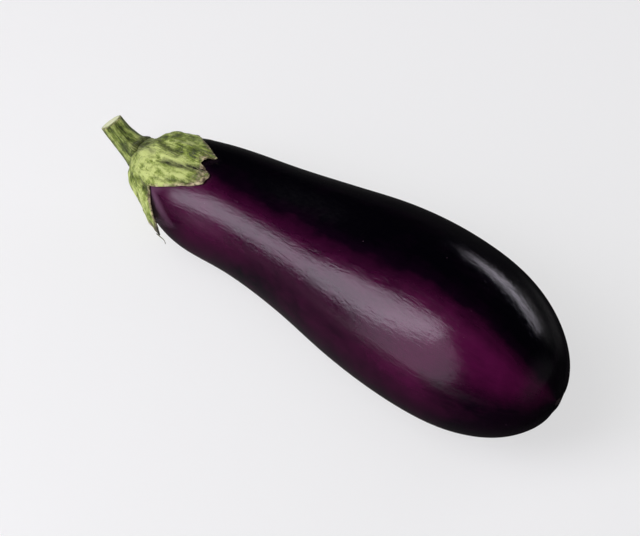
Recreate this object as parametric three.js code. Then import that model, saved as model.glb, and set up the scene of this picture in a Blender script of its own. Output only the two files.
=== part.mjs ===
// A ripe purple eggplant as picked, lying on its side: the glossy fruit, the green calyx that caps
// its neck, and the short cut stem. Millimetres, +Z up. The fruit lies along X, with its stem end
// towards -X, and the origin is on the surface it rests on, below the middle of the whole part.
import * as THREE from "three";

// The fruit: a long drop, round in section, with a slight waist behind the neck.
const FRUIT_LENGTH = 239; // from the stem end to the blossom end
const FRUIT_RADIUS = 41; // at the belly, where the fullness below is about 1.1
// At eight even steps from stem end to blossom end: how full the outline is, as a share of an
// ellipse's, and how far the fruit's middle line bows out to the back and upwards.
const FULLNESS = [0.95, 0.9, 0.783, 0.823, 0.962, 1.103, 1.251, 1.329];
const BOW_BACK = [2.6, 1.9, 4.5, 5.9, 5.9, 4.9, 2.9, 0];
const BOW_UP = [2.1, -0.8, -0.3, 0, 0, 0, 0, 0];
const OVALNESS = 0.012; // share by which the section is out of round
const FRUIT_RINGS = 38;
const FRUIT_SEGMENTS = 60;

// How it lies: the neck a little lower than the belly, on a patch that its own weight has flattened.
const REST_TILT = THREE.MathUtils.degToRad(6.2);
const FLAT_DEPTH = 0.8;

// The calyx: a fleshy cap with five lobes. Each lobe runs from the notch before it to its own tip
// and on to its own notch. Angles are in degrees round the fruit, from the front up over the top;
// a reach is a distance over the fruit's skin from the stem end, blunt the share of the lobe's width
// that its end is cut straight across, taper over 1 where it thins to a long point, and lift how
// far its tip stands off the fruit.
const LOBES = [
  { tip: 75, reach: 63.5, notch: 83, notchReach: 56, blunt: 0.25, taper: 0.9, lift: 0.5 },
  { tip: 97, reach: 60, notch: 150, notchReach: 33, blunt: 0, taper: 2, lift: 0.4 },
  { tip: 194, reach: 57, notch: 229, notchReach: 32, blunt: 0.1, taper: 1, lift: 1.2 },
  { tip: 268, reach: 45, notch: 322, notchReach: 34, blunt: 0.1, taper: 1.1, lift: 0 },
  { tip: 354, reach: 48, notch: 393, notchReach: 33.5, blunt: 0, taper: 1.5, lift: 5.5 },
];
const CALYX_THICK = 1.5; // of the flesh over most of a lobe
const CALYX_RIM = 0.8; // of the flesh at the rim
const CALYX_COLLAR = 2.4; // extra flesh round the stem
const COLLAR_SPREAD = 14; // distance over which the collar fades out
const CALYX_RINGS = 12;
const LOBE_SEGMENTS = 20;
const LIFT_FROM = 0.12; // share of the reach at which a lobe starts to stand off the fruit
const LIFT_CURVE = 1.3; // over 1 where a lobe curves away from the fruit towards its tip
const CLEARANCE = 0.3; // between touching pieces

// The stem: a ribbed stalk that leaves along the fruit and curves up to its cut end.
const STEM_BASE_RADIUS = 8.2;
const STEM_TIP_RADIUS = 5.7;
const STEM_STRAIGHT = 10; // from the seat to where the two tangents of its curve cross
const STEM_CURVED = 14.5; // from there to the cut
const STEM_RISE = THREE.MathUtils.degToRad(51);
const STEM_RIBS = 6;
const RIB_SHARE = 0.05;
const STEM_SIDES = 42;
const STEM_STEPS = 10;
const SEAT = -1.6; // where along the fruit the calyx is flat for the stem

// A smooth function of a share from 0 to 1 that passes through values at even steps.
function evenSteps(values) {
  const curve = new THREE.SplineCurve(values.map((value, i) => new THREE.Vector2(i, value)));
  return (share) => curve.getPoint(share).y;
}

// The half outline of the fruit as [radius, distance from the stem end].
class FruitOutline extends THREE.Curve {
  constructor() {
    super();
    this.fullness = evenSteps(FULLNESS);
  }

  getPoint(t, target = new THREE.Vector2()) {
    const along = (1 - Math.cos(Math.PI * t)) / 2;
    const round = 2 * Math.sqrt(along * (1 - along));
    const radius = FRUIT_RADIUS * round * this.fullness(along);
    return target.set(radius, FRUIT_LENGTH * along);
  }
}

// Sends every vertex of a geometry through a function from one point to another.
function reshape(geometry, move) {
  const position = geometry.getAttribute("position");
  const point = new THREE.Vector3();
  for (let i = 0; i < position.count; i++) {
    point.fromBufferAttribute(position, i);
    const moved = move(point);
    position.setXYZ(i, moved.x, moved.y, moved.z);
  }
  geometry.computeVertexNormals();
  geometry.computeBoundingBox();
  return geometry;
}

const outline = new FruitOutline();
const outlineLength = outline.getLength();
const bowBack = evenSteps(BOW_BACK);
const bowUp = evenSteps(BOW_UP);

// The point of the part that lies at an angle round the fruit, a distance from the fruit's middle
// line, and a distance along it from the stem end.
function aroundFruit(angle, radius, along) {
  const share = THREE.MathUtils.clamp(along / FRUIT_LENGTH, 0, 1);
  return new THREE.Vector3(
    along - FRUIT_LENGTH / 2,
    bowBack(share) - radius * Math.cos(angle),
    bowUp(share) + radius * Math.sin(angle),
  );
}

function makeFruit() {
  const half = outline.getPoints(FRUIT_RINGS).reverse();
  half[0].x = 0;
  half[FRUIT_RINGS].x = 0;
  return reshape(new THREE.LatheGeometry(half, FRUIT_SEGMENTS), (p) => {
    const angle = Math.atan2(p.x, p.z);
    const oval = 1 + OVALNESS * Math.cos(2 * angle);
    return aroundFruit(angle, Math.hypot(p.x, p.z) * oval, p.y);
  });
}

// Where a turn round the calyx, counted in lobes, lies round the fruit, and how far the rim reaches.
function calyxRim(turn) {
  const index = Math.min(Math.floor(turn), LOBES.length - 1);
  const lobe = LOBES[index];
  const before = LOBES[(index + LOBES.length - 1) % LOBES.length];
  const across = 2 * (turn - index) - 1;
  const start = before.notch - (index === 0 ? 360 : 0);
  const [notch, notchReach] =
    across < 0 ? [start, before.notchReach] : [lobe.notch, lobe.notchReach];
  const away = Math.abs(across);
  const rise = Math.min(1, (1 - away) / (1 - lobe.blunt)) ** lobe.taper;
  return {
    angle: THREE.MathUtils.degToRad(THREE.MathUtils.lerp(lobe.tip, notch, away)),
    reach: THREE.MathUtils.lerp(notchReach, lobe.reach, rise),
    lift: lobe.lift * (1 - away),
  };
}

// A closed section of the calyx, from the middle of its top out to the rim and back underneath.
// x is the share of the reach and y the share of the thickness.
function calyxSection() {
  const points = [];
  for (let i = 0; i < CALYX_RINGS; i++) points.push(new THREE.Vector2(i / CALYX_RINGS, 0));
  points.push(new THREE.Vector2(1, 0.5));
  for (let i = CALYX_RINGS - 1; i >= 0; i--) points.push(new THREE.Vector2(i / CALYX_RINGS, 1));
  return points;
}

function makeCalyx() {
  const flat = new THREE.LatheGeometry(calyxSection(), LOBES.length * LOBE_SEGMENTS);
  return reshape(flat, (p) => {
    const share = Math.hypot(p.x, p.z);
    const turn = (Math.atan2(p.x, p.z) / (2 * Math.PI) + 1) % 1;
    const rim = calyxRim(turn * LOBES.length);
    const distance = Math.min(share * rim.reach, outlineLength) / outlineLength;
    const skin = outline.getPointAt(distance);
    const slope = outline.getTangentAt(Math.max(distance, 1e-4));
    const flesh =
      THREE.MathUtils.lerp(CALYX_THICK, CALYX_RIM, share * share) +
      CALYX_COLLAR * Math.exp(-(((share * rim.reach) / COLLAR_SPREAD) ** 2));
    const free = Math.max(0, (share - LIFT_FROM) / (1 - LIFT_FROM));
    const height = CLEARANCE + rim.lift * free ** LIFT_CURVE + flesh * p.y;
    const radius = share === 0 ? 0 : skin.x + slope.y * height;
    const along = skin.y - slope.x * height;
    return aroundFruit(rim.angle, radius, Math.max(along, SEAT));
  });
}

function makeStem() {
  const foot = aroundFruit(0, 0, SEAT - CLEARANCE);
  const crossing = foot.clone().add(new THREE.Vector3(-STEM_STRAIGHT, 0, 0));
  const cut = crossing
    .clone()
    .add(
      new THREE.Vector3(-STEM_CURVED * Math.cos(STEM_RISE), 0, STEM_CURVED * Math.sin(STEM_RISE)),
    );
  const path = new THREE.QuadraticBezierCurve3(foot, crossing, cut);
  const side = new THREE.Vector3(0, 1, 0);
  return reshape(new THREE.CylinderGeometry(1, 1, 1, STEM_SIDES, STEM_STEPS), (p) => {
    const t = p.y + 0.5;
    const angle = Math.atan2(p.x, p.z);
    const flare = (1 - t) ** 2;
    const rib = 1 + RIB_SHARE * Math.cos(STEM_RIBS * angle);
    const radius =
      Math.hypot(p.x, p.z) * rib * THREE.MathUtils.lerp(STEM_TIP_RADIUS, STEM_BASE_RADIUS, flare);
    const across = new THREE.Vector3().crossVectors(path.getTangent(t), side);
    return path
      .getPoint(t)
      .addScaledVector(side, radius * Math.cos(angle))
      .addScaledVector(across, radius * Math.sin(angle));
  });
}

// Presses everything below a level up to it, as the fruit's weight does.
function flatten(geometry, level) {
  return reshape(geometry, (p) => p.setZ(Math.max(p.z, level)));
}

function named(name, geometry, colour, roughness) {
  const material = new THREE.MeshStandardMaterial({ color: colour, roughness, metalness: 0 });
  const mesh = new THREE.Mesh(geometry, material);
  mesh.name = name;
  return mesh;
}

const tilt = new THREE.Matrix4().makeRotationY(-REST_TILT);
const fruit = makeFruit().applyMatrix4(tilt);
fruit.computeBoundingBox();
const floor = fruit.boundingBox.min.z + FLAT_DEPTH;

const eggplant = new THREE.Group();
eggplant.add(
  named("fruit", flatten(fruit, floor), 0x2a0820, 0.15),
  named("calyx", flatten(makeCalyx().applyMatrix4(tilt), floor), 0x9aa95a, 0.75),
  named("stem", makeStem().applyMatrix4(tilt), 0x8b9a4e, 0.7),
);
const box = new THREE.Box3().setFromObject(eggplant);
const middle = box.getCenter(new THREE.Vector3());
eggplant.position.set(-middle.x, -middle.y, -box.min.z);

export default eggplant;
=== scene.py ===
# A ripe purple eggplant lying on its side: the glossy fruit, the fleshy green calyx with its five
# lobes, and the ribbed stem with its cut end. Metres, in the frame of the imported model.
import math

import bpy
from mathutils import Matrix, Vector, kdtree, noise
from mathutils.bvhtree import BVHTree


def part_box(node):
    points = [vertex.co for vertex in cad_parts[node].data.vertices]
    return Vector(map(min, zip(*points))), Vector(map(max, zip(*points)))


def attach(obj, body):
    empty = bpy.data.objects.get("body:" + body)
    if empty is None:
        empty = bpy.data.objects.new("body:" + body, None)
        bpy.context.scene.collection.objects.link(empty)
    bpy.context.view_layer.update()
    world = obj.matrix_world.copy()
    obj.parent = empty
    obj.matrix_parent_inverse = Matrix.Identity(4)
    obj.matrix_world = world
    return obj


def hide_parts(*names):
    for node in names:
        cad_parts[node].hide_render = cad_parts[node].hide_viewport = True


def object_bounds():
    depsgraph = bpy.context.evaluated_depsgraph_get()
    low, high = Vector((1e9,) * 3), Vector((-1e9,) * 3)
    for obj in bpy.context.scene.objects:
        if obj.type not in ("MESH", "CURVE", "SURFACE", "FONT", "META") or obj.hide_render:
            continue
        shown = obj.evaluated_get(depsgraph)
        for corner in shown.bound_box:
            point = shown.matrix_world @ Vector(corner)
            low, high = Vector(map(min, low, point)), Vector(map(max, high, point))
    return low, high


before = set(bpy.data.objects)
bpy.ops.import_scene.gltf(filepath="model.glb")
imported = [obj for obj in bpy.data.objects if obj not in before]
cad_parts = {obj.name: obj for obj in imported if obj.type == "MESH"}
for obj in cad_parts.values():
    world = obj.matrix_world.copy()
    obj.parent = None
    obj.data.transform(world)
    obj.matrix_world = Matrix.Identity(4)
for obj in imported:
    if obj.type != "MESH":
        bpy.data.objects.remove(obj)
model_low, model_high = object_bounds()
model_middle = (model_low + model_high) / 2
MM = 0.001

# The camera looks down on the front of the fruit, with its stem end at the upper left.
CAMERA_AZIMUTH = 38.8
CAMERA_ELEVATION = 55
CAMERA_DISTANCE = 0.68
CAMERA_LENS = 85
CAMERA_AIM_OFF = Vector((-7.5, -7.2, -5.4)) * MM  # from the middle of the fruit's box

# The fruit grows along a line that rises from the stem end as it lies on its belly.
REST_TILT = math.radians(6.2)
ALONG = Vector((math.cos(REST_TILT), 0, math.sin(REST_TILT)))  # from stem end to blossom end
FRONT = Vector((0, -1, 0))
OVER = Vector((-math.sin(REST_TILT), 0, math.cos(REST_TILT)))  # upwards, square to both


def direction(azimuth, elevation):
    """The unit vector to an azimuth in degrees, from the front towards +X, and an elevation."""
    azimuth, elevation = math.radians(azimuth), math.radians(elevation)
    flat = math.cos(elevation)
    return Vector((math.sin(azimuth) * flat, -math.cos(azimuth) * flat, math.sin(elevation)))


def look_from(thing, place, target):
    thing.location = place
    thing.rotation_euler = (place - target).to_track_quat("Z", "Y").to_euler()


def make_camera():
    data = bpy.data.cameras.new("camera")
    data.lens = CAMERA_LENS
    data.clip_start = 0.01
    camera = bpy.data.objects.new("camera", data)
    bpy.context.scene.collection.objects.link(camera)
    low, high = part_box("fruit")
    aim = (low + high) / 2 + CAMERA_AIM_OFF
    look_from(camera, aim + direction(CAMERA_AZIMUTH, CAMERA_ELEVATION) * CAMERA_DISTANCE, aim)
    bpy.context.scene.camera = camera


make_camera()


# ---------------------------------------------------------------- small helpers


def clamp(value, low=0.0, high=1.0):
    return max(low, min(high, value))


def lerp(a, b, share):
    return a + (b - a) * share


def smooth(start, end, value):
    """0 at start, 1 at end, with a soft step between. The end may be below the start."""
    share = clamp((value - start) / (end - start))
    return share * share * (3 - 2 * share)


def bump_at(value, centre, width):
    """1 at the centre, and a soft fall to both sides."""
    return math.exp(-(((value - centre) / width) ** 2))


def off_angle(angle, centre):
    """How far an angle in degrees lies from a centre, from -180 to 180."""
    return (angle - centre + 180) % 360 - 180


def on_drum(girth, angle, along):
    """A point on a drum: its girth, an angle in degrees round it, and a place along it."""
    turn = math.radians(angle)
    return Vector((girth * math.cos(turn), girth * math.sin(turn), along))


def between(pairs, value):
    """A value read off a list of (place, value) pairs, with straight lines between them."""
    if value <= pairs[0][0]:
        return pairs[0][1]
    for (a, low), (b, high) in zip(pairs, pairs[1:]):
        if value <= b:
            return lerp(low, high, clamp((value - a) / (b - a)))
    return pairs[-1][1]


def deselect_all():
    if bpy.context.mode != "OBJECT":
        bpy.ops.object.mode_set(mode="OBJECT")
    bpy.ops.object.select_all(action="DESELECT")


def select_only(thing):
    deselect_all()
    thing.select_set(True)
    bpy.context.view_layer.objects.active = thing


def edit_all(thing):
    select_only(thing)
    bpy.ops.object.mode_set(mode="EDIT")
    bpy.ops.mesh.select_all(action="SELECT")


def edit_faces(thing, chosen):
    """Opens edit mode with just the faces selected that a test picks."""
    edit_all(thing)
    bpy.ops.mesh.select_all(action="DESELECT")
    bpy.ops.object.mode_set(mode="OBJECT")
    for face in thing.data.polygons:
        face.select = chosen(face)
    bpy.ops.object.mode_set(mode="EDIT")
    bpy.ops.mesh.select_mode(type="FACE")


def apply_modifier(thing, kind, **settings):
    """Adds a modifier, sets it and applies it."""
    select_only(thing)
    modifier = thing.modifiers.new(kind.lower(), kind)
    for name, value in settings.items():
        setattr(modifier, name, value)
    bpy.ops.object.modifier_apply(modifier=modifier.name)


def subdivide(thing, levels):
    apply_modifier(thing, "SUBSURF", levels=levels, render_levels=levels)


def copy_of_node(node, name):
    """A copy of a CAD node, merged to one skin of four-sided faces."""
    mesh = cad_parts[node].data.copy()
    mesh.materials.clear()
    thing = bpy.data.objects.new(name, mesh)
    bpy.context.scene.collection.objects.link(thing)
    edit_all(thing)
    bpy.ops.mesh.customdata_custom_splitnormals_clear()
    bpy.ops.mesh.remove_doubles(threshold=0.02 * MM)
    bpy.ops.mesh.tris_convert_to_quads(
        face_threshold=math.radians(60), shape_threshold=math.radians(120)
    )
    bpy.ops.mesh.normals_make_consistent(inside=False)
    bpy.ops.object.mode_set(mode="OBJECT")
    return thing


def finish_piece(thing, material, node=None):
    """Smooth shading, the material, and what the frame has to know."""
    select_only(thing)
    bpy.ops.object.shade_smooth()
    thing.data.materials.clear()
    thing.data.materials.append(material)
    if node:
        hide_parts(node)
    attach(thing, "root")


def sculpt(thing, move):
    """Moves every vertex to where a function of its place and its normal puts it."""
    mesh = thing.data
    moved = [move(v.co.copy(), v.normal.copy(), v.index) for v in mesh.vertices]
    for vertex, place in zip(mesh.vertices, moved):
        vertex.co = place
    mesh.update()


def store(thing, name, values):
    """Keeps one number or one vector for each vertex under a name that a material can read."""
    kind = "FLOAT_VECTOR" if isinstance(values[0], Vector) else "FLOAT"
    attribute = thing.data.attributes.new(name, kind, "POINT")
    for item, value in zip(attribute.data, values):
        if kind == "FLOAT":
            item.value = value
        else:
            item.vector = value


class GrowthLine:
    """The bowed middle line of the fruit, and places counted round it and along it."""

    def __init__(self, mesh):
        points = [vertex.co for vertex in mesh.vertices]
        heights = [point.dot(ALONG) for point in points]
        self.start = min(heights)
        self.length = max(heights) - self.start
        rings = {}
        for point, height in zip(points, heights):
            rings.setdefault(round((height - self.start) / MM), []).append(point)
        self.front, self.over = [], []
        for along, ring in sorted(rings.items()):
            for line, axis in ((self.front, FRONT), (self.over, OVER)):
                reaches = [point.dot(axis) for point in ring]
                line.append((along * MM, (min(reaches) + max(reaches)) / 2))

    def middle(self, along):
        front, over = between(self.front, along), between(self.over, along)
        return ALONG * (self.start + along) + FRONT * front + OVER * over

    def around(self, point):
        """The angle in degrees from the front up over the top, and the place along."""
        along = point.dot(ALONG) - self.start
        out = point - self.middle(along)
        angle = math.degrees(math.atan2(out.dot(OVER), out.dot(FRONT)))
        return angle, along


fruit_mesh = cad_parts["fruit"].data
growth = GrowthLine(fruit_mesh)


# ---------------------------------------------------------------- materials


def rgb(red, green, blue):
    return (red, green, blue, 1.0)


# The skin from near-black to purple-red: painted light and shade run along it, near-black on top and
# purple-red where the key light falls, with some real pigment variation.
SKIN_TONES = [
    (0.0, rgb(0.0007, 0.0004, 0.0016)),
    (0.25, rgb(0.0042, 0.0004, 0.0042)),
    (0.55, rgb(0.030, 0.0016, 0.0165)),
    (1.0, rgb(0.088, 0.0042, 0.045)),
]
# Paler skin that the calyx covered lately, also the colour of the painted reflection at the notch beside
# the hanging lobe.
COVERED_SKIN_AND_PAINTED_REFLECTION = rgb(0.19, 0.10, 0.16)
PALE_PORE = rgb(0.26, 0.15, 0.20)
# The flesh as (deep, middle, pale).
CALYX_GREENS = (rgb(0.030, 0.045, 0.004), rgb(0.165, 0.225, 0.022), rgb(0.47, 0.54, 0.17))
STEM_GREENS = (rgb(0.020, 0.030, 0.003), rgb(0.120, 0.170, 0.016), rgb(0.37, 0.43, 0.12))
OLIVE_SPECK = rgb(0.085, 0.085, 0.022)
PALE_FIBRE = rgb(0.62, 0.64, 0.36)
# The painted shade in creases.
CREASE_PAINTED_SHADE = rgb(0.018, 0.020, 0.003)
DRIED_EDGE = [(0.42, rgb(0.060, 0.040, 0.016)), (0.62, rgb(0.50, 0.42, 0.25))]
BURNT_TIP = rgb(0.016, 0.014, 0.008)
SHEEN_TINT = rgb(0.93, 1.0, 0.75)
# The cut end from its pith out to its skin.
CUT_RINGS = [
    (0.0, rgb(0.62, 0.60, 0.38)),
    (0.34, rgb(0.80, 0.81, 0.56)),
    (0.62, rgb(0.66, 0.71, 0.40)),
    (0.80, rgb(0.78, 0.79, 0.55)),
    (1.0, rgb(0.26, 0.33, 0.09)),
]
SCAR_CORK = [(0.35, rgb(0.008, 0.004, 0.005)), (0.68, rgb(0.032, 0.018, 0.018))]
THREAD_BROWN = [(0.35, rgb(0.03, 0.03, 0.012)), (0.65, rgb(0.16, 0.15, 0.06))]


class Nodes:
    """A node tree, with short ways to add and join nodes."""

    def __init__(self, tree):
        self.tree = tree

    def set(self, socket, value):
        if isinstance(value, bpy.types.NodeSocket):
            self.tree.links.new(value, socket)
        else:
            socket.default_value = value

    def add(self, kind, inputs=None, **settings):
        node = self.tree.nodes.new(kind)
        for name, value in settings.items():
            setattr(node, name, value)
        for name, value in (inputs or {}).items():
            self.set(node.inputs[name], value)
        return node

    def attribute(self, name, output="Fac"):
        return self.add("ShaderNodeAttribute", attribute_name=name).outputs[output]

    def here(self):
        """The place on the piece, in metres."""
        return self.add("ShaderNodeTexCoord").outputs["Object"]

    def ramp(self, factor, stops):
        """A colour ramp. A stop is (place, colour) or (place, grey)."""
        node = self.add("ShaderNodeValToRGB", {"Fac": factor})
        elements = node.color_ramp.elements
        while len(elements) > 1:
            elements.remove(elements[-1])
        for number, (place, colour) in enumerate(stops):
            element = elements[0] if number == 0 else elements.new(place)
            element.position = place
            element.color = colour if isinstance(colour, tuple) else rgb(colour, colour, colour)
        return node.outputs["Color"]

    def maths(self, operation, a, b=0.0, c=0.0):
        node = self.add("ShaderNodeMath", {0: a, 1: b, 2: c}, operation=operation)
        return node.outputs["Value"]

    def sway(self, value, pattern, amount):
        """A value moved up and down by a pattern that lies about 0.5."""
        centred = self.maths("SUBTRACT", pattern, 0.5)
        return self.maths("MULTIPLY_ADD", centred, amount, value)

    def mix(self, factor, a, b, blend="MIX"):
        node = self.add("ShaderNodeMix", data_type="RGBA", blend_type=blend)
        for index, value in ((0, factor), (6, a), (7, b)):
            self.set(node.inputs[index], value)
        return node.outputs[2]

    def noise(self, coordinates, scale, detail=3.0, roughness=0.5, distortion=0.0):
        inputs = {"Vector": coordinates, "Scale": scale, "Detail": detail}
        inputs.update({"Roughness": roughness, "Distortion": distortion})
        return self.add("ShaderNodeTexNoise", inputs).outputs["Fac"]

    def stretched(self, coordinates, scale):
        node = self.add("ShaderNodeMapping", {"Vector": coordinates, "Scale": scale})
        return node.outputs["Vector"]

    def bump(self, height, distance, strength=1.0, normal=None):
        inputs = {"Height": height, "Distance": distance, "Strength": strength}
        if normal is not None:
            inputs["Normal"] = normal
        return self.add("ShaderNodeBump", inputs).outputs["Normal"]


def new_material(name):
    material = bpy.data.materials.new(name)
    material.use_nodes = True
    return material, Nodes(material.node_tree), material.node_tree.nodes["Principled BSDF"]


def new_group(name, inputs, outputs):
    """A node group, as its tree, its nodes, what it is given, and what it puts out."""
    tree = bpy.data.node_groups.new(name, "ShaderNodeTree")
    for label, kind in inputs.items():
        tree.interface.new_socket(label, in_out="INPUT", socket_type=kind)
    for label, kind in outputs.items():
        tree.interface.new_socket(label, in_out="OUTPUT", socket_type=kind)
    nodes = Nodes(tree)
    return tree, nodes, nodes.add("NodeGroupInput").outputs, nodes.add("NodeGroupOutput").inputs


VECTOR, FLOAT = "NodeSocketVector", "NodeSocketFloat"


def make_fibre_group():
    """Fine fibres that run along the growth: long streaks and short ticks, both 0 to 1."""
    tree, nodes, given, out = new_group(
        "growth_fibres",
        {"Growth": VECTOR, "Across": FLOAT, "Length": FLOAT},
        {"Streaks": FLOAT, "Ticks": FLOAT},
    )
    scale = nodes.add(
        "ShaderNodeCombineXYZ", {"X": given["Across"], "Y": given["Across"], "Z": given["Length"]}
    ).outputs["Vector"]
    drawn = nodes.add(
        "ShaderNodeVectorMath", {0: given["Growth"], 1: scale}, operation="MULTIPLY"
    ).outputs["Vector"]
    nodes.set(out["Streaks"], nodes.noise(drawn, 1.0, 4.0, 0.62, 0.25))
    fine = nodes.noise(drawn, 3.1, 2.0, 0.5, 0.6)
    ticks = nodes.add("ShaderNodeMapRange", {"Value": fine, "From Min": 0.6, "From Max": 0.72})
    nodes.set(out["Ticks"], ticks.outputs["Result"])
    return tree


fibre_group = make_fibre_group()


def fibres(nodes, across, length):
    node = nodes.add("ShaderNodeGroup", node_tree=fibre_group)
    nodes.set(node.inputs["Growth"], nodes.attribute("growth", "Vector"))
    node.inputs["Across"].default_value = across
    node.inputs["Length"].default_value = length
    return node.outputs["Streaks"], node.outputs["Ticks"]


def skin_material():
    """Waxy skin: near-black on top and purple-red towards the front and the belly, as painted light and
    shade with some real pigment variation.
    """
    material, nodes, shader = new_material("waxy_purple_skin")
    here = nodes.here()
    streaks, ticks = fibres(nodes, 760.0, 170.0)
    patches = nodes.noise(nodes.stretched(here, (28, 60, 60)), 1.0, 4.0, 0.55, 0.4)
    blotches = nodes.noise(here, 150.0, 4.0, 0.6, 0.5)
    # Painted light and shade: near-black on top, purple-red towards the lit front, broken up by real
    # mottling.
    tone_and_painted_light = nodes.sway(nodes.attribute("plum_painted_light"), patches, 0.60)
    tone_and_painted_light = nodes.sway(tone_and_painted_light, blotches, 0.26)
    tone_and_painted_light = nodes.sway(tone_and_painted_light, streaks, 0.16)
    colour = nodes.ramp(tone_and_painted_light, SKIN_TONES)
    # Skin that the calyx covered until lately is paler, and a painted reflection lightens it at the notch
    # beside the hanging lobe.
    colour = nodes.mix(nodes.attribute("covered_and_painted_reflection"), colour, COVERED_SKIN_AND_PAINTED_REFLECTION)
    # A few pale breathing pores.
    pores = nodes.add(
        "ShaderNodeTexVoronoi", {"Vector": here, "Scale": 210.0, "Randomness": 1.0}
    ).outputs["Distance"]
    chosen = nodes.noise(here, 90.0, 1.0)
    dots = nodes.ramp(pores, [(0.0, 1.0), (0.055, 0.0)])
    dots = nodes.maths("MULTIPLY", dots, nodes.ramp(chosen, [(0.52, 0.0), (0.60, 1.0)]))
    colour = nodes.mix(nodes.maths("MULTIPLY", dots, 0.45), colour, PALE_PORE)
    nodes.set(shader.inputs["Base Color"], colour)
    # Grain that breaks the edges of the reflections, and slow swells that bend them.
    swell = nodes.noise(nodes.stretched(here, (26, 46, 46)), 1.0, 2.0, 0.5)
    normal = nodes.bump(swell, 0.4 * MM, 0.4)
    normal = nodes.bump(streaks, 0.13 * MM, 1.0, normal)
    normal = nodes.bump(nodes.noise(here, 620.0, 3.0, 0.6), 0.03 * MM, 0.8, normal)
    pitted = nodes.maths("MULTIPLY_ADD", ticks, 0.5, dots)
    nodes.set(shader.inputs["Normal"], nodes.bump(pitted, 0.02 * MM, 0.8, normal))
    nodes.set(shader.inputs["Roughness"], nodes.ramp(streaks, [(0.3, 0.11), (0.7, 0.17)]))
    shader.inputs["IOR"].default_value = 1.5
    return material


def green_material(name, greens, mottling, streaking):
    """Matt green plant flesh, mottled and streaked along its growth, browned where it dried, with painted
    shade in its hollows and creases.
    """
    deep, middle, pale = greens
    material, nodes, shader = new_material(name)
    here = nodes.here()
    streaks, ticks = fibres(nodes, 1100.0, 190.0)
    mottle = nodes.noise(here, 170.0, 5.0, 0.62, 0.3)
    crinkles = nodes.noise(here, 430.0, 4.0, 0.65, 0.9)
    # Paler where the relief stands up and darker in its hollows: painted light and shade on the relief,
    # with each calyx lobe's own paleness.
    tone_and_painted_light = nodes.maths("MULTIPLY_ADD", nodes.attribute("paleness_and_relief_shade"), 0.55, 0.235)
    tone_and_painted_light = nodes.sway(tone_and_painted_light, mottle, mottling)
    tone_and_painted_light = nodes.sway(tone_and_painted_light, streaks, streaking)
    tone_and_painted_light = nodes.sway(tone_and_painted_light, crinkles, 0.7)
    colour = nodes.ramp(tone_and_painted_light, [(0.20, deep), (0.46, middle), (0.74, pale)])
    specks = nodes.ramp(nodes.noise(here, 620.0, 2.0, 0.5), [(0.66, 0.0), (0.74, 0.7)])
    colour = nodes.mix(specks, colour, OLIVE_SPECK)
    colour = nodes.mix(nodes.maths("MULTIPLY", ticks, 0.35), colour, PALE_FIBRE)
    # Painted shade darkens the creases, and rims and tips dry to cream and brown.
    broken = nodes.ramp(streaks, [(0.42, 1.0), (0.62, 0.5)])
    shaded = nodes.maths("MULTIPLY", nodes.attribute("crease_and_painted_shade"), broken)
    colour = nodes.mix(shaded, colour, CREASE_PAINTED_SHADE)
    dried = nodes.noise(here, 420.0, 3.0, 0.6)
    colour = nodes.mix(nodes.attribute("dry"), colour, nodes.ramp(dried, DRIED_EDGE))
    colour = nodes.mix(nodes.attribute("burnt"), colour, BURNT_TIP)
    nodes.set(shader.inputs["Base Color"], colour)
    normal = nodes.bump(mottle, 0.30 * MM, 0.6)
    normal = nodes.bump(crinkles, 0.35 * MM, 0.8, normal)
    normal = nodes.bump(streaks, 0.25 * MM, 0.9, normal)
    nodes.set(shader.inputs["Normal"], normal)
    nodes.set(shader.inputs["Roughness"], nodes.ramp(mottle, [(0.3, 0.54), (0.7, 0.72)]))
    shader.inputs["Specular IOR Level"].default_value = 0.35
    shader.inputs["Sheen Weight"].default_value = 0.12
    shader.inputs["Sheen Roughness"].default_value = 0.5
    shader.inputs["Sheen Tint"].default_value = SHEEN_TINT
    return material


def cut_material():
    """The cut end of the stem: pale wood with a greener ring and a soft pith."""
    material, nodes, shader = new_material("cut_stem_wood")
    here = nodes.here()
    fine = nodes.noise(here, 900.0, 3.0, 0.6)
    ring = nodes.sway(nodes.attribute("ring"), fine, 0.25)
    nodes.set(shader.inputs["Base Color"], nodes.ramp(ring, CUT_RINGS))
    nodes.set(shader.inputs["Normal"], nodes.bump(fine, 0.25 * MM, 0.7))
    nodes.set(shader.inputs["Roughness"], nodes.ramp(fine, [(0.3, 0.55), (0.7, 0.75)]))
    return material


def dry_material(name, scale, detail, colours, depth, roughness):
    """A dead, rough plant part: one grain for its colour, its relief and its roughness."""
    material, nodes, shader = new_material(name)
    grain = nodes.noise(nodes.here(), scale, detail, 0.6)
    nodes.set(shader.inputs["Base Color"], nodes.ramp(grain, colours))
    nodes.set(shader.inputs["Normal"], nodes.bump(grain, depth))
    smoothest, roughest = roughness
    nodes.set(shader.inputs["Roughness"], nodes.ramp(grain, [(0.3, smoothest), (0.7, roughest)]))
    return material


def growth_places(thing, girth):
    """Each vertex's place as a point on a drum of one girth, so that a pattern follows growth."""
    places = []
    for vertex in thing.data.vertices:
        angle, along = growth.around(vertex.co)
        places.append(on_drum(girth, angle, along))
    return places


# ---------------------------------------------------------------- the fruit

FRUIT_GIRTH = 30 * MM
FLAT_KEEP = 4 * MM  # height over the floor below which the skin isn't touched
# The hollow round the blossom scar, as the depth and the spread of its two parts.
DRAWN_IN = [(0.2 * MM, 6 * MM), (1.4 * MM, 22 * MM)]
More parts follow.
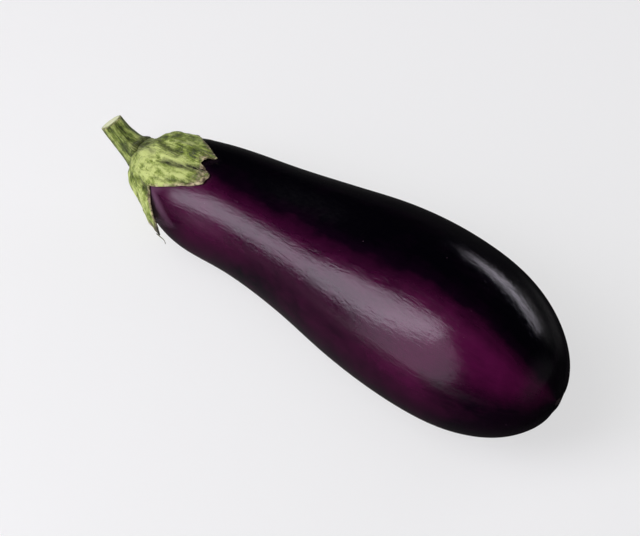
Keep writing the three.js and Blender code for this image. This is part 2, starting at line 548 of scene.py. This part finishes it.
# At shares of the fruit's length: how strong the painted purple-red light is, and at what angle from the
# front it ends.
PLUM_STRENGTH = [
    (0, 0.60),
    (0.22, 0.74),
    (0.4, 0.60),
    (0.6, 0.62),
    (0.8, 0.88),
    (0.92, 0.80),
    (0.98, 0.5),
    (1, 0.1),
]
PLUM_EDGE = [(0.0, 73), (0.3, 70), (0.5, 70), (0.7, 74), (1.0, 75)]
PLUM_UNDERNEATH = 0.30
# The painted reflection at the notch beside the hanging lobe, which also lightens its shade, and the thin
# pale line round the rest that the calyx covered.
NOTCH_PAINTED_REFLECTION, RIM_PALE = 0.75, 0.04
NOTCH_PAINTED_REFLECTION_SPREAD, RIM_PALE_SPREAD = 6.0 * MM, 1.2 * MM
SCAR_RADIUS = 1.7 * MM
SCAR_SHAPE = Matrix.Diagonal((1.15, 0.85, 0.35, 1.0))
SCAR_SUNK = 1.75 * MM


def plum_painted_light_at(angle, along):
    """How purple-red the skin is painted, from 0 on the near-black top to 1: painted light and shade,
    with some real pigment variation.
    """
    share = along / growth.length
    strength, edge = between(PLUM_STRENGTH, share), between(PLUM_EDGE, share)
    # Lit purple-red towards the front, near-black on top and towards the floor: painted light and shade.
    front = smooth(edge + 19, edge - 17, angle) * lerp(0.32, 1.0, smooth(-35, 52, angle))
    front *= lerp(1.0, 0.5, smooth(0.76, 0.9, share) * smooth(62, 18, angle))
    front *= smooth(-100, -50, angle)
    under = PLUM_UNDERNEATH * smooth(215, 260, angle % 360) * smooth(-40, -100, angle)
    return clamp(strength * front + under * smooth(1.0, 0.9, share))


def covered_skin_and_painted_reflection(place, angle, along, rims):
    """How pale the skin is, from 0 to 1: a thin line that the growing calyx covered until lately, and a
    painted reflection at the notch beside the hanging lobe.
    """
    rim, _, gap = rims.find(place)
    if (place - rim).dot(ALONG) < 0:
        gap = 0
    near_notch = bump_at(angle, 20, 22) * bump_at(along, 27 * MM, 12 * MM)
    spread = lerp(RIM_PALE_SPREAD, NOTCH_PAINTED_REFLECTION_SPREAD, near_notch)
    return lerp(RIM_PALE, NOTCH_PAINTED_REFLECTION, near_notch) * smooth(spread, 0, gap)


def make_fruit():
    fruit = copy_of_node("fruit", "glossy_fruit")
    subdivide(fruit, 2)
    # Slow swells and faint furrows along the fruit, and a blossom end that is drawn in a little.
    tip = growth.middle(growth.length)

    def swell(place, normal, _):
        angle, along = growth.around(place)
        free = smooth(0, FLAT_KEEP, place.z) * smooth(20 * MM, 60 * MM, along)
        lumps = noise.noise(place * 22 + Vector((3, 1, 7)))
        furrow = noise.noise(on_drum(2.2, angle, along * 7))
        depth = (0.3 + 0.25 * lumps + 0.35 * furrow) * MM
        away = (place - tip).length
        dimple = sum(deep * bump_at(away, 0, wide) for deep, wide in DRAWN_IN)
        return place - normal * max(0.0, depth) * free - ALONG * dimple

    sculpt(fruit, swell)
    store(fruit, "growth", growth_places(fruit, FRUIT_GIRTH))
    painted_light_tones, covered_and_painted_reflection = [], []
    rims = rim_tree(lifted=False)
    for vertex in fruit.data.vertices:
        angle, along = growth.around(vertex.co)
        painted_light_tones.append(plum_painted_light_at(angle, along))
        covered_and_painted_reflection.append(covered_skin_and_painted_reflection(vertex.co, angle, along, rims))
    # The painted light and shade of the skin.
    store(fruit, "plum_painted_light", painted_light_tones)
    store(fruit, "covered_and_painted_reflection", covered_and_painted_reflection)
    finish_piece(fruit, skin_material(), "fruit")


def make_blossom_scar():
    """The small corky scar where the blossom fell off."""
    tip = growth.middle(growth.length) - ALONG * SCAR_SUNK
    deselect_all()
    bpy.ops.mesh.primitive_uv_sphere_add(segments=40, ring_count=20, radius=SCAR_RADIUS)
    scar = bpy.context.object
    scar.name = "blossom_scar"
    turn = ALONG.to_track_quat("Z", "Y").to_matrix().to_4x4()
    scar.data.transform(Matrix.Translation(tip) @ turn @ SCAR_SHAPE)

    def crumple(place, normal, _):
        rough = noise.noise(place * 900) + 0.6 * noise.noise(place * 2100)
        return place + normal * rough * 0.45 * MM

    subdivide(scar, 1)
    sculpt(scar, crumple)
    material = dry_material("dry_scar_cork", 1500.0, 4.0, SCAR_CORK, 0.3 * MM, (0.75, 0.92))
    finish_piece(scar, material)


# ---------------------------------------------------------------- the calyx

# Each lobe runs from the notch before it to its own tip and on to its own notch. Angles in degrees
# from the front up over the top, reaches over the skin from the stem end in mm. Blunt is the share of
# the lobe's width that its end is cut straight across. The two tapers are for the sides before and
# after the tip, over 1 where a side thins to a long point. Lift is how far the tip stands off the
# fruit in mm, and curl is over 1 where it does so only near its tip.
LOBES = [
    dict(tip=75, reach=63.5, notch=84, notch_reach=55, blunt=0.22, tapers=(0.9, 0.9), lift=0.3, curl=1.3),
    dict(tip=96, reach=60.5, notch=150, notch_reach=33, blunt=0.0, tapers=(1.9, 1.9), lift=0.6, curl=1.3),
    dict(tip=194, reach=57, notch=229, notch_reach=32, blunt=0.1, tapers=(1.1, 1.1), lift=1.2, curl=1.3),
    dict(tip=268, reach=45, notch=322, notch_reach=34, blunt=0.1, tapers=(1.1, 1.1), lift=0.0, curl=1.3),
    dict(tip=369, reach=55, notch=394, notch_reach=34, blunt=0.0, tapers=(3.4, 1.7), lift=8.0, curl=3.2),
]
HANGING_LOBE = 4
LOBE_COLUMNS = 44
CALYX_ROWS = 44
CALYX_GIRTH = 20 * MM
LIFT_FROM = 8.0  # reach at which the lobes start to stand off the fruit
CLEARANCE = 0.3  # between the skin and the flesh, in mm, as are the next four
FLESH = 1.6
RIM_FLESH = 0.7
COLLAR = 2.0  # extra flesh round the stem, and how far out it fades
COLLAR_SPREAD = 14.0
SEAT = -1.6 * MM  # where along the fruit the calyx is flat for the stem
FLOOR_KEEP = 0.2 * MM  # how far above the floor the lobes stay
FOCUS = 18 * MM  # the place inside the neck from which its skin is looked up
RAYS = 80
LAST_LEAN = math.radians(152)  # between the first ray, to the stem end, and the last one
RIM_POINTS = 1000
# The dried thread, from inside the lobe's tip on: how far onward and down each point lies, in mm.
THREAD_POINTS = [(-2.5, 0.0), (0.0, 0.2), (1.6, -0.2), (2.9, 0.3), (3.5, 1.4), (3.4, 2.4)]
THREAD_RADIUS = 0.22 * MM


class NeckSkin:
    """Looks up the fruit's skin at an angle round the neck and a reach over it from the stem end."""

    def __init__(self, mesh):
        points = [v.co.copy() for v in mesh.vertices]
        faces = [tuple(p.vertices) for p in mesh.polygons]
        self.tree = BVHTree.FromPolygons(points, faces)
        self.known = {}

    def profile(self, angle):
        """The skin in one half plane as a list of (reach, point)."""
        key = round(angle, 3)
        if key not in self.known:
            turn = math.radians(angle)
            out = FRONT * math.cos(turn) + OVER * math.sin(turn)
            focus = growth.middle(FOCUS)
            line, reach, last = [], 0.0, None
            for ray in range(RAYS + 1):
                lean = LAST_LEAN * ray / RAYS
                aim = -ALONG * math.cos(lean) + out * math.sin(lean)
                point = self.tree.ray_cast(focus, aim)[0]
                if last is not None:
                    reach += (point - last).length
                line.append((reach, point))
                last = point
            self.known[key] = line
        return self.known[key]

    def at(self, angle, reach):
        line = self.profile(angle)
        for (a, low), (b, high) in zip(line, line[1:]):
            if reach <= b:
                break
        point = low.lerp(high, clamp((reach - a) / (b - a)))
        tangent = (high - low).normalized()
        turn = math.radians(angle)
        round_about = (OVER * math.cos(turn) - FRONT * math.sin(turn)).normalized()
        return point, tangent.cross(round_about).normalized()


neck = NeckSkin(fruit_mesh)


def lift_at(lobe, reach, away):
    """How far a place on a lobe stands off the fruit, in mm. Away is 1 in the notches."""
    free = clamp((reach - LIFT_FROM) / (lobe["reach"] - LIFT_FROM))
    return lobe["lift"] * free ** lobe["curl"] * smooth(0, 0.25, 1 - away)


def calyx_rim(turn):
    """Where a turn round the calyx, counted in lobes, has its rim.

    The angle, the reach and the lift in mm, the lobe's number, and the place across it from -1 to 1.
    """
    index = min(int(turn), len(LOBES) - 1)
    lobe, before = LOBES[index], LOBES[index - 1]
    across = 2 * (turn - index) - 1
    away = abs(across)
    if across < 0:
        notch, notch_reach = before["notch"] - (360 if index == 0 else 0), before["notch_reach"]
    else:
        notch, notch_reach = lobe["notch"], lobe["notch_reach"]
    rise = min(1, (1 - away) / (1 - lobe["blunt"])) ** lobe["tapers"][across > 0]
    ragged = 0.9 * noise.noise(Vector((turn * 9, 0.3, 5)))
    ragged += 0.5 * noise.noise(Vector((turn * 31, 4, 2)))
    reach = lerp(notch_reach, lobe["reach"], rise) + ragged * smooth(0, 0.25, 1 - away)
    return lerp(lobe["tip"], notch, away), reach, lift_at(lobe, reach, away), index, across


def rim_tree(lifted=True):
    """A tree of the places along the calyx's rim, or of those on the skin below it."""
    tree = kdtree.KDTree(RIM_POINTS)
    for number in range(RIM_POINTS):
        angle, reach, lift, _, _ = calyx_rim(number / RIM_POINTS * len(LOBES))
        point, out = neck.at(angle % 360, reach * MM)
        tree.insert(point + out * lift * MM * lifted, number)
    tree.balance()
    return tree


# Swellings and hollows of the calyx: angle, reach in mm, half the spread of each, and height in mm.
SWELLINGS = [
    (116, 27, 17, 9, 1.1),  # the hump on the upper lobe
    (120, 14, 26, 5, -1.3),  # the hollow between that hump and the stem
    (150, 30, 26, 16, -0.7),
    (58, 36, 15, 14, 0.5),
    (91, 50, 4.5, 9, 0.9),  # the rolled edge of the upper lobe, over the front one
    (8, 17, 24, 8, 1.8),  # the shoulder above the hanging lobe
    (62, 11, 18, 3, -0.5),
]
# Creases: the places that one runs through as (angle, reach in mm), half its width in degrees, and
# its depth in mm.
CREASES = [
    ([(66, 33), (69, 40), (73, 49), (77, 54), (81, 60)], 2.4, 1.7),  # under the upper lobe's edge
    ([(52, 44), (57, 50), (63, 61)], 1.9, 0.8),
    ([(47, 36), (50, 45)], 1.4, 0.4),
    ([(30, 27), (27, 36)], 3.0, 1.3),  # between the front lobe and the hanging one
    ([(70, 9), (82, 12), (93, 16)], 6.5, 1.0),  # round the foot of the stem
    ([(82, 13), (72, 26)], 3.5, 0.7),
    ([(98, 18), (86, 30), (82, 40)], 3.4, 0.9),  # beside the hump
    ([(101, 36), (98, 56)], 1.5, 0.45),
    ([(112, 24), (103, 44)], 1.6, 0.40),
    ([(130, 14), (95, 14)], 6.0, 0.6),
    ([(352, 26), (359, 44)], 2.0, 0.35),
]


def beside_line(place, start, end):
    """How far a place lies beside a straight stretch."""
    run = end - start
    return (place - start - run * clamp((place - start).dot(run) / run.length_squared)).length


def crease_at(angle, reach):
    """The depth in mm of the creases at a place on the calyx."""
    depth = 0.0
    wander = 1 + 0.35 * noise.noise(Vector((reach * 0.3, angle * 0.1, 9)))
    for places, width, deep in CREASES:
        first = places[0][0]
        place = Vector((off_angle(angle, first) + first, reach))
        line = [Vector(point) for point in places]
        beside = min(beside_line(place, *pair) for pair in zip(line, line[1:]))
        # The longest one starts faintly.
        start = smooth(-1, 4, reach - line[0].y) if len(line) > 3 else 1.0
        depth = max(depth, deep * start * bump_at(beside, 0, width * wander))
    return depth


def calyx_height(angle, reach, share, index, across):
    """How far the calyx's outer face stands off the fruit, in mm, its relief and its crease, both of
    which also set painted shade.
    """
    flesh = lerp(FLESH, RIM_FLESH, share * share)
    collar = COLLAR * math.exp(-((reach / COLLAR_SPREAD) ** 2)) + 1.1 * bump_at(reach, 8.6, 2.4)
    height = CLEARANCE + flesh + collar + lift_at(LOBES[index], reach, abs(across))
    for at, out, wide, long, high in SWELLINGS:
        height += high * bump_at(off_angle(angle, at), 0, wide) * bump_at(reach, out, long)
    # Midribs, fibres and wrinkles run out along each lobe.
    side = across * reach * 0.35
    seam = 1 - abs(across) ** 8
    rib = 0.50 * bump_at(side, 0.6 * noise.noise(Vector((reach * 0.1, index, 3))), 1.3)
    rib *= smooth(0.08, 0.3, share) * smooth(1.0, 0.75, share)
    fibre = noise.noise(Vector((side * 0.62, reach * 0.055, index * 7.3)))
    fine = noise.noise(Vector((side * 1.5, reach * 0.15, index * 3.1 + 40)))
    sharp = abs(noise.noise(Vector((side * 0.9, reach * 0.09, index * 5.7 + 80))))
    wrinkle = (0.55 * fibre + 0.35 * fine - 0.75 * (0.25 - min(sharp, 0.25))) * smooth(0.15, 0.5, share)
    puckers = 0.55 * noise.noise(Vector((angle * 0.10, reach * 0.24, 11)))
    ridges = 0.35 * math.cos(math.radians(angle * 9)) * bump_at(reach, 11, 5)
    detail = (rib + wrinkle + puckers * smooth(5, 13, reach) + ridges) * seam
    crease_and_painted_shade = crease_at(angle, reach)
    return height + detail - crease_and_painted_shade, detail, crease_and_painted_shade


# How pale each lobe is on the whole: the front one most, the upper one least.
LOBE_PALENESS = [0.30, -0.12, 0.0, 0.05, 0.12]


def wrap_calyx(calyx, sheet):
    """Lays a flat sheet, given as a turn and a share of the reach for each vertex, round the neck."""
    values = {name: [0.0] * len(sheet) for name in ("share", "paleness_and_relief_shade", "crease_and_painted_shade", "tipped", "burnt")}
    seat = growth.middle(0) + ALONG * SEAT

    def wrap(place, normal, number):
        turn, share = sheet[number]
        angle, rim_reach, _, index, across = calyx_rim(turn)
        reach = share * rim_reach
        height, detail, crease_and_painted_shade = calyx_height(angle, reach, share, index, across)
        point, out = neck.at(angle % 360, reach * MM)
        place = point + out * height * MM
        sunk = (place - seat).dot(ALONG)
        if sunk < 0:
            place -= ALONG * sunk
        place.z = max(place.z, FLOOR_KEEP + RIM_FLESH * MM)
        to_tip = LOBES[index]["reach"] - reach
        pale = LOBE_PALENESS[index] * smooth(12, 24, reach) * smooth(1.0, 0.8, abs(across))
        pale -= 0.40 * smooth(18, 3, to_tip)
        values["share"][number] = share
        # Painted light and shade: paler on raised relief and darker in its hollows, plus the lobe's own
        # paleness.
        values["paleness_and_relief_shade"][number] = clamp(0.5 + 0.55 * detail + pale)
        # Painted shade in the creases and round the foot of the stem.
        values["crease_and_painted_shade"][number] = clamp(crease_and_painted_shade * 0.85 + 0.5 * smooth(13, 8, reach))
        values["tipped"][number] = smooth(11, -0.5, to_tip)
        if index == HANGING_LOBE:
            values["burnt"][number] = smooth(9, 3, to_tip)
        return place

    sculpt(calyx, wrap)
    for name, numbers in values.items():
        store(calyx, name, numbers)
    edit_all(calyx)
    bpy.ops.mesh.remove_doubles(threshold=0.01 * MM)
    bpy.ops.mesh.normals_make_consistent(inside=False)
    bpy.ops.object.mode_set(mode="OBJECT")


def thicken_calyx(calyx):
    """Gives the sheet its flesh, thick round the stem and thin at the rim."""
    group = calyx.vertex_groups.new(name="flesh")
    shares = [item.value for item in calyx.data.attributes["share"].data]
    for number, share in enumerate(shares):
        group.add([number], lerp(FLESH, RIM_FLESH, share * share) / FLESH, "REPLACE")
    wall = dict(thickness=FLESH * MM, offset=-1, vertex_group="flesh", use_even_offset=False)
    apply_modifier(calyx, "SOLIDIFY", **wall)
    subdivide(calyx, 1)


def dryness(calyx):
    """How far each place has dried: along the rim, and in patches towards the tips."""
    rims = rim_tree()
    dry = []
    for vertex, item in zip(calyx.data.vertices, calyx.data.attributes["tipped"].data):
        gap = rims.find(vertex.co)[2] / MM
        ragged = noise.noise(vertex.co * 420) + 0.6 * noise.noise(vertex.co * 1100)
        at_tip = item.value * (0.75 + 1.6 * ragged)
        dry.append(clamp(smooth(2.0, 0.5, gap - 0.9 * ragged) + at_tip))
    return dry


def make_calyx():
    columns = LOBE_COLUMNS * len(LOBES)
    deselect_all()
    bpy.ops.mesh.primitive_grid_add(x_subdivisions=columns, y_subdivisions=CALYX_ROWS, size=2)
    calyx = bpy.context.object
    calyx.name = "leafy_calyx"
    sheet = [
        ((v.co.x + 1) / 2 * len(LOBES) % len(LOBES), ((v.co.y + 1) / 2) ** 0.9)
        for v in calyx.data.vertices
    ]
    wrap_calyx(calyx, sheet)
    thicken_calyx(calyx)
    store(calyx, "growth", growth_places(calyx, CALYX_GIRTH))
    store(calyx, "dry", dryness(calyx))
    flesh = green_material("calyx_green", CALYX_GREENS, mottling=1.25, streaking=0.8)
    finish_piece(calyx, flesh, "calyx")


def make_thread():
    """The dried thread at the end of the hanging lobe."""
    lobe = LOBES[HANGING_LOBE]
    point, out = neck.at(lobe["tip"] % 360, lobe["reach"] * MM)
    tip = point + out * (lobe["lift"] + CLEARANCE + 0.3) * MM
    onward = (ALONG * 0.8 - out * 0.25 + FRONT * 0.35).normalized()
    curl = Vector((0, 0, -1))
    line = bpy.data.curves.new("dried_thread", "CURVE")
    line.dimensions = "3D"
    line.bevel_depth = THREAD_RADIUS
    line.bevel_resolution = 3
    line.resolution_u = 8
    line.use_fill_caps = True
    spline = line.splines.new("NURBS")
    spline.points.add(len(THREAD_POINTS) - 1)
    for target, (forward, down) in zip(spline.points, THREAD_POINTS):
        place = tip + onward * forward * MM + curl * down * MM
        target.co = (*place, 1)
        target.radius = clamp(1.1 - 0.13 * max(0, forward))
    spline.use_endpoint_u = True
    thread = bpy.data.objects.new("dried_thread", line)
    bpy.context.scene.collection.objects.link(thread)
    select_only(thread)
    bpy.ops.object.convert(target="MESH")
    brown = dry_material("dried_thread_brown", 1800.0, 3.0, THREAD_BROWN, 0.1 * MM, (0.6, 0.85))
    finish_piece(bpy.context.object, brown)


# ---------------------------------------------------------------- the stem

STEM_STRAIGHT = 10 * MM
STEM_CURVED = 14.5 * MM
STEM_RISE = math.radians(51)
STEM_TIP_RADIUS = 5.7 * MM
STEM_LENGTH = 24 * MM
STEM_GIRTH = 20 * MM
STEM_FLARE = 1.7  # how much wider its foot is, in mm
CUT_RIM = 0.35 * MM
# The ribs, as the angle of each and its height in mm.
RIBS = [(18, 0.55), (62, 0.40), (108, 0.60), (166, 0.35), (214, 0.50), (262, 0.35), (318, 0.50)]
RIB_WIDTH = 11  # in degrees
# The rings of the cut end, from outside in: the width of each and how far it rises, in mm.
CUT_STEPS = [(0.25, 0.0), (0.9, -0.10), (1.2, -0.06), (1.1, 0.08), (0.9, 0.05)]
CUT_THICK = 1.4 * MM
CUT_SHARE = 0.93  # of the stem's radius
CUT_SUNK = 0.42 * MM


class StemPath:
    """The stem's middle line: it leaves along the fruit and curves up to the cut."""

    STEPS = 40

    def __init__(self):
        foot = growth.middle(0) + ALONG * (SEAT - CLEARANCE * MM)
        crossing = foot - ALONG * STEM_STRAIGHT
        self.end_way = OVER * math.sin(STEM_RISE) - ALONG * math.cos(STEM_RISE)
        self.cut = crossing + self.end_way * STEM_CURVED
        self.points = []
        for step in range(self.STEPS + 1):
            t = step / self.STEPS
            self.points.append(foot * (1 - t) ** 2 + crossing * 2 * t * (1 - t) + self.cut * t * t)

    def around(self, place):
        """The share of the way to the cut, and the angle in degrees from the front over the top."""
        step = min(range(self.STEPS + 1), key=lambda i: (place - self.points[i]).length_squared)
        before, after = self.points[max(step - 1, 0)], self.points[min(step + 1, self.STEPS)]
        way = (after - before).normalized()
        over = (OVER - way * OVER.dot(way)).normalized()
        out = place - self.points[step]
        return step / self.STEPS, math.degrees(math.atan2(out.dot(over), out.dot(FRONT)))


def make_stem():
    stem = copy_of_node("stem", "ribbed_stem")
    path = StemPath()

    def at_the_cut(face):
        return face.normal.dot(path.end_way) > 0.97 and path.around(face.center)[0] > 0.9

    # The cut gets a tight rim, so that it stays flat when the sides are smoothed.
    edit_faces(stem, at_the_cut)
    bpy.ops.mesh.inset(thickness=CUT_RIM)
    bpy.ops.object.mode_set(mode="OBJECT")
    subdivide(stem, 2)
    places = [path.around(v.co) for v in stem.data.vertices]
    paleness_and_relief_shade, crease_and_painted_shade, dry = [], [], []

    def shape(place, normal, number):
        share, angle = places[number]
        rib = sum(high * bump_at(off_angle(angle, at), 0, RIB_WIDTH) for at, high in RIBS)
        fibre = noise.noise(Vector((angle * 0.16, share * 2.5, 4)))
        knots = noise.noise(place * 240)
        flare = STEM_FLARE * (1 - share) ** 3
        side = 1 - smooth(0.90, 0.99, abs(normal.dot(path.end_way)))
        detail = rib + 0.22 * fibre + 0.12 * knots - 0.18
        # Painted light and shade: paler on the ribs and darker between them.
        paleness_and_relief_shade.append(clamp(0.42 + 1.1 * (detail - 0.1)))
        # Painted shade near the foot on the upper back side, and right at the joint with the calyx.
        painted_shade_side = smooth(30, 85, angle) * smooth(225, 170, angle)
        rough = 0.12 * noise.noise(place * 300)
        foot = smooth(0.62, 0.12, share + rough) * painted_shade_side
        crease_and_painted_shade.append(clamp(0.90 * foot + 0.4 * smooth(0.12, 0.0, share + rough)))
        dry.append(0.9 * smooth(0.965, 1.0, share))
        return place + normal * (detail + flare) * side * MM

    sculpt(stem, shape)
    store(stem, "growth", [on_drum(STEM_GIRTH, angle, share * STEM_LENGTH) for share, angle in places])
    store(stem, "paleness_and_relief_shade", paleness_and_relief_shade)
    store(stem, "crease_and_painted_shade", crease_and_painted_shade)
    store(stem, "dry", dry)
    store(stem, "burnt", [0.0] * len(places))
    flesh = green_material("stem_green", STEM_GREENS, mottling=0.7, streaking=1.7)
    finish_piece(stem, flesh, "stem")


def make_cut_end():
    """The pale wood that shows where the stem was cut."""
    path = StemPath()
    radius = STEM_TIP_RADIUS * CUT_SHARE
    deselect_all()
    bpy.ops.mesh.primitive_cylinder_add(vertices=48, radius=radius, depth=CUT_THICK)
    end = bpy.context.object
    end.name = "cut_end"
    edit_faces(end, lambda face: face.normal.z > 0.9)
    for inset, rise in CUT_STEPS:
        bpy.ops.mesh.inset(thickness=inset * MM)
        bpy.ops.transform.translate(value=(0, 0, rise * MM))
    bpy.ops.object.mode_set(mode="OBJECT")
    subdivide(end, 2)
    rings = [clamp(math.hypot(v.co.x, v.co.y) / radius) for v in end.data.vertices]

    def rough(place, normal, _):
        place += normal * 0.12 * MM * noise.noise(place * 900)
        angle = math.degrees(math.atan2(place.y, place.x))
        wide = 1 + 0.05 * noise.noise(on_drum(1, angle, 5))
        return Vector((place.x * wide, place.y * wide, place.z))

    sculpt(end, rough)
    store(end, "ring", rings)
    turn = path.end_way.to_track_quat("Z", "Y").to_matrix().to_4x4()
    end.data.transform(Matrix.Translation(path.cut - path.end_way * CUT_SUNK) @ turn)
    end.data.update()
    finish_piece(end, cut_material())


# ---------------------------------------------------------------- floor and light

FLOOR_SIZE = 30
FLOOR_DROP = 0.05 * MM  # below the fruit, so that the two faces don't fight
FLOOR_PALE = rgb(0.95, 0.95, 0.95)
EVEN_FLOOR_FROM = 0.35  # metres from the fruit where the floor starts to fade into the backdrop
EVEN_FLOOR_TO = 1.1
# How bright the floor looks in the skin's reflections, on the left and on the right.
FLOOR_GLOSS = 0.016
FLOOR_GLOSS_RIGHT = 0.008
# The painted pools of light that the floor shows only in reflections: the middle, and how bright it is at
# distances from there.
FLOOR_PAINTED_LIGHT_PATCHES = [
    (direction(-10, 0) * 0.8, [(0.24, 0.95), (0.46, 0.16), (0.66, 0.0)]),  # in front
    (direction(-40, 0) * 0.12, [(0.10, 0.05), (0.24, 0.0)]),  # near the fruit
    (direction(146, 0) * 0.30, [(0.03, 0.14), (0.12, 0.0)]),  # behind
]
# The lights that show in the skin are faintly lilac.
REFLECTED_TINT = (0.98, 0.92, 1.06)
# The room as reflections see it: how bright it is all over, and its faint glows as azimuth, elevation
# and spread in degrees, and brightness.
ROOM_LEVEL = 0.002
ROOM_GLOWS = [(165, 3, 22, 0.20), (-106, 8, 26, 0.45), (100, 2, 40, 0.09)]
ROOM_LIGHT = rgb(0.20, 0.20, 0.21)  # the even light that it casts


def floor_in_reflections(nodes, here):
    """A dim floor with painted pools of light, as reflections see it."""
    side = nodes.add("ShaderNodeSeparateXYZ", {0: here}).outputs["X"]
    stops = [(0.50, FLOOR_GLOSS), (0.62, FLOOR_GLOSS_RIGHT)]
    lit = nodes.ramp(nodes.maths("ADD", side, 0.5), stops)
    for spot, stops in FLOOR_PAINTED_LIGHT_PATCHES:
        away = nodes.add(
            "ShaderNodeVectorMath", {0: here, 1: tuple(spot)}, operation="DISTANCE"
        ).outputs["Value"]
        lit = nodes.mix(1.0, lit, nodes.ramp(away, stops), "ADD")
    return nodes.add("ShaderNodeEmission", {"Color": lit}).outputs["Emission"]


def make_floor():
    deselect_all()
    bpy.ops.mesh.primitive_plane_add(size=FLOOR_SIZE, location=(0, 0, 0))
    floor = bpy.context.object
    floor.name = "pale_floor"
    floor.data.transform(Matrix.Translation((0, 0, -FLOOR_DROP)))
    material, nodes, shader = new_material("pale_floor")
    shader.inputs["Base Color"].default_value = rgb(0.8, 0.8, 0.8)
    shader.inputs["Roughness"].default_value = 0.95
    shader.inputs["Specular IOR Level"].default_value = 0.0
    here = nodes.here()
    far = nodes.add("ShaderNodeVectorMath", {0: here}, operation="LENGTH").outputs["Value"]
    fade = nodes.add(
        "ShaderNodeMapRange",
        {"Value": far, "From Min": EVEN_FLOOR_FROM, "From Max": EVEN_FLOOR_TO, "To Min": 0.62},
        interpolation_type="SMOOTHSTEP",
    ).outputs["Result"]
    even = nodes.add("ShaderNodeEmission", {"Color": FLOOR_PALE})
    seen = nodes.add(
        "ShaderNodeMixShader", {0: fade, 1: shader.outputs["BSDF"], 2: even.outputs["Emission"]}
    )
    dim = floor_in_reflections(nodes, here)
    ray = nodes.add("ShaderNodeLightPath").outputs["Is Glossy Ray"]
    both = nodes.add("ShaderNodeMixShader", {0: ray, 1: seen.outputs["Shader"], 2: dim})
    output = nodes.tree.nodes["Material Output"]
    nodes.set(output.inputs["Surface"], both.outputs["Shader"])
    floor.data.materials.append(material)


def softbox(name, azimuth, elevation, distance, size, power, roll=0.0, reflected=True):
    """An oval area light that faces the fruit. Roll turns it in its own plane, in degrees."""
    data = bpy.data.lights.new(name, "AREA")
    data.color = REFLECTED_TINT if reflected else (1.0, 1.0, 1.0)
    data.shape = "ELLIPSE"
    data.size, data.size_y = size
    data.energy = power
    light = bpy.data.objects.new(name, data)
    bpy.context.scene.collection.objects.link(light)
    look_from(light, model_middle + direction(azimuth, elevation) * distance, model_middle)
    light.rotation_euler.rotate_axis("Z", math.radians(roll))
    light.visible_glossy = reflected


def glow(nodes, way, azimuth, elevation, spread, level):
    """A soft spot of light in the room, seen only in reflections."""
    towards = tuple(direction(azimuth, elevation))
    facing = nodes.add("ShaderNodeVectorMath", {0: way, 1: towards}, operation="DOT_PRODUCT")
    inner, outer = math.cos(math.radians(spread * 0.35)), math.cos(math.radians(spread))
    spot = nodes.add(
        "ShaderNodeMapRange",
        {"Value": facing.outputs["Value"], "From Min": outer, "From Max": inner},
        interpolation_type="SMOOTHSTEP",
    )
    return nodes.maths("MULTIPLY", spot.outputs["Result"], level)


def make_light():
    softbox("key_softbox", -36.5, 34, distance=1.01, size=(0.47, 1.16), power=4.6, roll=-27)
    softbox("low_reflector", -11.6, 20, distance=1.06, size=(0.86, 1.3), power=3.0)
    softbox("back_strip", 171, 21, distance=1.1, size=(0.98, 0.20), power=2.0)
    softbox("front_fill", -28, 56, distance=1.1, size=(0.7, 0.7), power=4.6, reflected=False)
    softbox("top_fill", 40, 82, distance=1.5, size=(1.4, 1.4), power=2.2, reflected=False)
    world = bpy.data.worlds.new("studio")
    world.use_nodes = True
    bpy.context.scene.world = world
    nodes = Nodes(world.node_tree)
    path = nodes.add("ShaderNodeLightPath")
    colour = nodes.mix(path.outputs["Is Camera Ray"], ROOM_LIGHT, FLOOR_PALE)
    # Reflections see a dark room with a few faint glows.
    way = nodes.add("ShaderNodeTexCoord").outputs["Generated"]
    room = ROOM_LEVEL
    for spot in ROOM_GLOWS:
        room = nodes.maths("ADD", glow(nodes, way, *spot), room)
    colour = nodes.mix(path.outputs["Is Glossy Ray"], colour, room)
    nodes.set(world.node_tree.nodes["Background"].inputs["Color"], colour)


make_fruit()
make_blossom_scar()
make_calyx()
make_thread()
make_stem()
make_cut_end()
make_floor()
make_light()
bpy.context.scene.view_settings.view_transform = "Standard"
